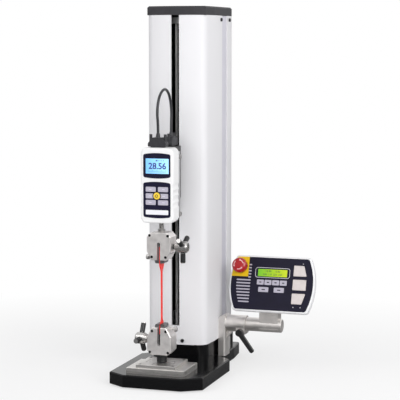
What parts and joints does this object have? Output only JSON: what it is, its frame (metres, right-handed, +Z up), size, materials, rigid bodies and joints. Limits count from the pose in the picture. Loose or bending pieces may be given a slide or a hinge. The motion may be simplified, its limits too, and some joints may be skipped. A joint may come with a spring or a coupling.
{
  "type": "tensile force tester",
  "caption": "Motorised bench force tester: column stand with travelling crosshead, digital force gauge, wedge grips, rubber test piece and a tilting control panel.",
  "frame": {"origin": "loading axis at the base's underside, centre of the four threaded bench holes", "axes": "+X to the control panel's side (right seen from the front), +Y to the rear, +Z up along the loading axis"},
  "size_m": [0.3583, 0.3747, 0.7325],
  "materials": {
    "black_paint": "gloss black paint",
    "foot_rubber": "matt",
    "plate_steel": "ground, nickel plated",
    "screw_black": "black oxide",
    "side_grey": "satin",
    "inlet_black": "moulded",
    "column_paint": "satin anodised, pale grey",
    "cap_grey": "fine texture",
    "rail_steel": "ground",
    "screw_steel": "rolled thread",
    "inner_alu": "machined",
    "crosshead_black": "satin black anodised",
    "motor_black": "satin black",
    "nut_bronze": "machined bronze",
    "knob_steel": "knurled",
    "gauge_white": "fine moulded texture",
    "label_navy": "printed overlay",
    "button_yellow": "smooth",
    "plug_black": "moulded",
    "lead_black": "satin jacket",
    "grip_steel": "bead blasted, nickel plated",
    "jaw_steel": "hardened, serrated",
    "handle_chrome": "polished",
    "sleeve_black": "satin",
    "specimen_red": "satin rubber",
    "bracket_alu": "cast and blasted",
    "lever_black": "satin",
    "panel_white": "fine moulded texture",
    "panel_navy": "printed overlay",
    "key_beige": "satin",
    "stop_yellow": "satin",
    "stop_red": "gloss"
  },
  "bodies": {
    "frame": {"base_casting": "black_paint", "rubber_feet": "foot_rubber", "base_plate": "plate_steel", "matrix_plate": "plate_steel", "frame_screws": "screw_black", "pedestal": "black_paint", "side_plate": "side_grey", "power_inlet": "inlet_black", "column": "column_paint", "column_cap": "cap_grey", "guide_rails": "rail_steel", "screw_bearings": "inner_alu", "drive_motor": "motor_black", "lower_stud": "screw_steel", "lower_locknut": "screw_black", "lower_grip_body": "grip_steel", "lower_grip_cover": "grip_steel", "lower_cover_screws": "screw_black", "lower_stop_pin": "knob_steel", "specimen": "specimen_red", "panel_bracket": "bracket_alu"},
    "crosshead_body": {"crosshead": "crosshead_black", "screw_nut": "nut_bronze", "gauge_mount": "inner_alu", "mount_knobs": "knob_steel", "gauge_rear_case": "gauge_white", "gauge_front_case": "gauge_white", "gauge_label": "label_navy", "load_shaft": "screw_steel", "upper_hex_nut": "screw_steel", "gauge_plug": "plug_black", "crosshead_plug": "plug_black", "signal_lead": "lead_black", "upper_grip_body": "grip_steel", "upper_grip_cover": "grip_steel", "upper_cover_screws": "screw_black", "upper_stop_pin": "knob_steel"},
    "screw_body": {"lead_screw": "screw_steel"},
    "rocker_body": {"power_rocker": "inlet_black"},
    "gauge_button_body": {"gauge_button": "button_yellow"},
    "lever_body": {"clamp_lever": "lever_black"},
    "panel_body": {"tilt_head": "bracket_alu", "panel_front": "panel_white", "panel_rear": "panel_white", "panel_label": "panel_navy", "stop_plate": "stop_yellow"},
    "stop_button_body": {"stop_button": "stop_red"},
    "key_up_body": {"key_up": "key_beige"},
    "key_stop_body": {"key_stop": "key_beige"},
    "key_down_body": {"key_down": "key_beige"},
    "upper_handle_body": {"upper_handle": "handle_chrome", "upper_handle_sleeves": "sleeve_black"},
    "upper_yoke_body": {"upper_yoke": "jaw_steel"},
    "upper_jaw_left_body": {"upper_jaw_left": "jaw_steel"},
    "upper_jaw_right_body": {"upper_jaw_right": "jaw_steel"},
    "lower_handle_body": {"lower_handle": "handle_chrome", "lower_handle_sleeves": "sleeve_black"},
    "lower_yoke_body": {"lower_yoke": "jaw_steel"},
    "lower_jaw_left_body": {"lower_jaw_left": "jaw_steel"},
    "lower_jaw_right_body": {"lower_jaw_right": "jaw_steel"}
  },
  "joints": [
    {"name": "crosshead_travel", "type": "slide", "parent": "frame", "child": "crosshead_body", "axis": [0, 0, 1], "range_m": [-0.105, 0.235], "deforming": ["specimen"]},
    {"name": "lead_screw_turn", "type": "hinge", "parent": "frame", "child": "screw_body", "pos_m": [0, 0.124, 0.1], "axis": [0, 0, 1], "range_deg": [-8480, 3800]},
    {"name": "power_switch_rock", "type": "hinge", "parent": "frame", "child": "rocker_body", "pos_m": [0.052, 0.253, 0.037], "axis": [0, 1, 0], "range_deg": [-7, 7]},
    {"name": "gauge_button_press", "type": "slide", "parent": "crosshead_body", "child": "gauge_button_body", "axis": [0, 1, 0], "range_m": [0, 0.0012], "stiffness_N_per_m": 400},
    {"name": "clamp_lever_swing", "type": "hinge", "parent": "frame", "child": "lever_body", "pos_m": [0.1095, 0.183, 0.0752], "axis": [0, 1, 0], "range_deg": [-60, 30]},
    {"name": "panel_tilt", "type": "hinge", "parent": "frame", "child": "panel_body", "pos_m": [0.119, 0.183, 0.09], "axis": [1, 0, 0], "range_deg": [-30, 25]},
    {"name": "stop_button_press", "type": "slide", "parent": "panel_body", "child": "stop_button_body", "axis": [0, 0.9455, -0.3256], "range_m": [0, 0.004]},
    {"name": "key_up_press", "type": "slide", "parent": "panel_body", "child": "key_up_body", "axis": [0, 0.9455, -0.3256], "range_m": [0, 0.001], "stiffness_N_per_m": 400},
    {"name": "key_stop_press", "type": "slide", "parent": "panel_body", "child": "key_stop_body", "axis": [0, 0.9455, -0.3256], "range_m": [0, 0.001], "stiffness_N_per_m": 400},
    {"name": "key_down_press", "type": "slide", "parent": "panel_body", "child": "key_down_body", "axis": [0, 0.9455, -0.3256], "range_m": [0, 0.001], "stiffness_N_per_m": 400},
    {"name": "upper_handle_turn", "type": "hinge", "parent": "crosshead_body", "child": "upper_handle_body", "pos_m": [0, 0.001, 0.268], "axis": [-1, 0, 0], "range_deg": [0, 80]},
    {"name": "upper_yoke_lift", "type": "slide", "parent": "crosshead_body", "child": "upper_yoke_body", "axis": [0, 0, 1], "range_m": [0, 0.0078]},
    {"name": "upper_jaw_left_slide", "type": "slide", "parent": "crosshead_body", "child": "upper_jaw_left_body", "axis": [-0.2079, 0, 0.9781], "range_m": [0, 0.0083]},
    {"name": "upper_jaw_right_slide", "type": "slide", "parent": "crosshead_body", "child": "upper_jaw_right_body", "axis": [0.2079, 0, 0.9781], "range_m": [0, 0.0083]},
    {"name": "lower_handle_turn", "type": "hinge", "parent": "frame", "child": "lower_handle_body", "pos_m": [0, 0.001, 0.0857], "axis": [1, 0, 0], "range_deg": [0, 80]},
    {"name": "lower_yoke_lift", "type": "slide", "parent": "frame", "child": "lower_yoke_body", "axis": [0, 0, -1], "range_m": [0, 0.0078]},
    {"name": "lower_jaw_left_slide", "type": "slide", "parent": "frame", "child": "lower_jaw_left_body", "axis": [-0.2079, 0, -0.9781], "range_m": [0, 0.0083]},
    {"name": "lower_jaw_right_slide", "type": "slide", "parent": "frame", "child": "lower_jaw_right_body", "axis": [0.2079, 0, -0.9781], "range_m": [0, 0.0083]}
  ],
  "couplings": [
    {"joint": "lead_screw_turn", "follows": "crosshead_travel", "rad_per_m": -628.32},
    {"joint": "upper_handle_turn", "follows": "upper_yoke_lift", "rad_per_m": 178.57},
    {"joint": "upper_jaw_left_slide", "follows": "upper_yoke_lift", "ratio": 1.0223},
    {"joint": "upper_jaw_right_slide", "follows": "upper_yoke_lift", "ratio": 1.0223},
    {"joint": "lower_handle_turn", "follows": "lower_yoke_lift", "rad_per_m": 178.57},
    {"joint": "lower_jaw_left_slide", "follows": "lower_yoke_lift", "ratio": 1.0223},
    {"joint": "lower_jaw_right_slide", "follows": "lower_yoke_lift", "ratio": 1.0223}
  ]
}
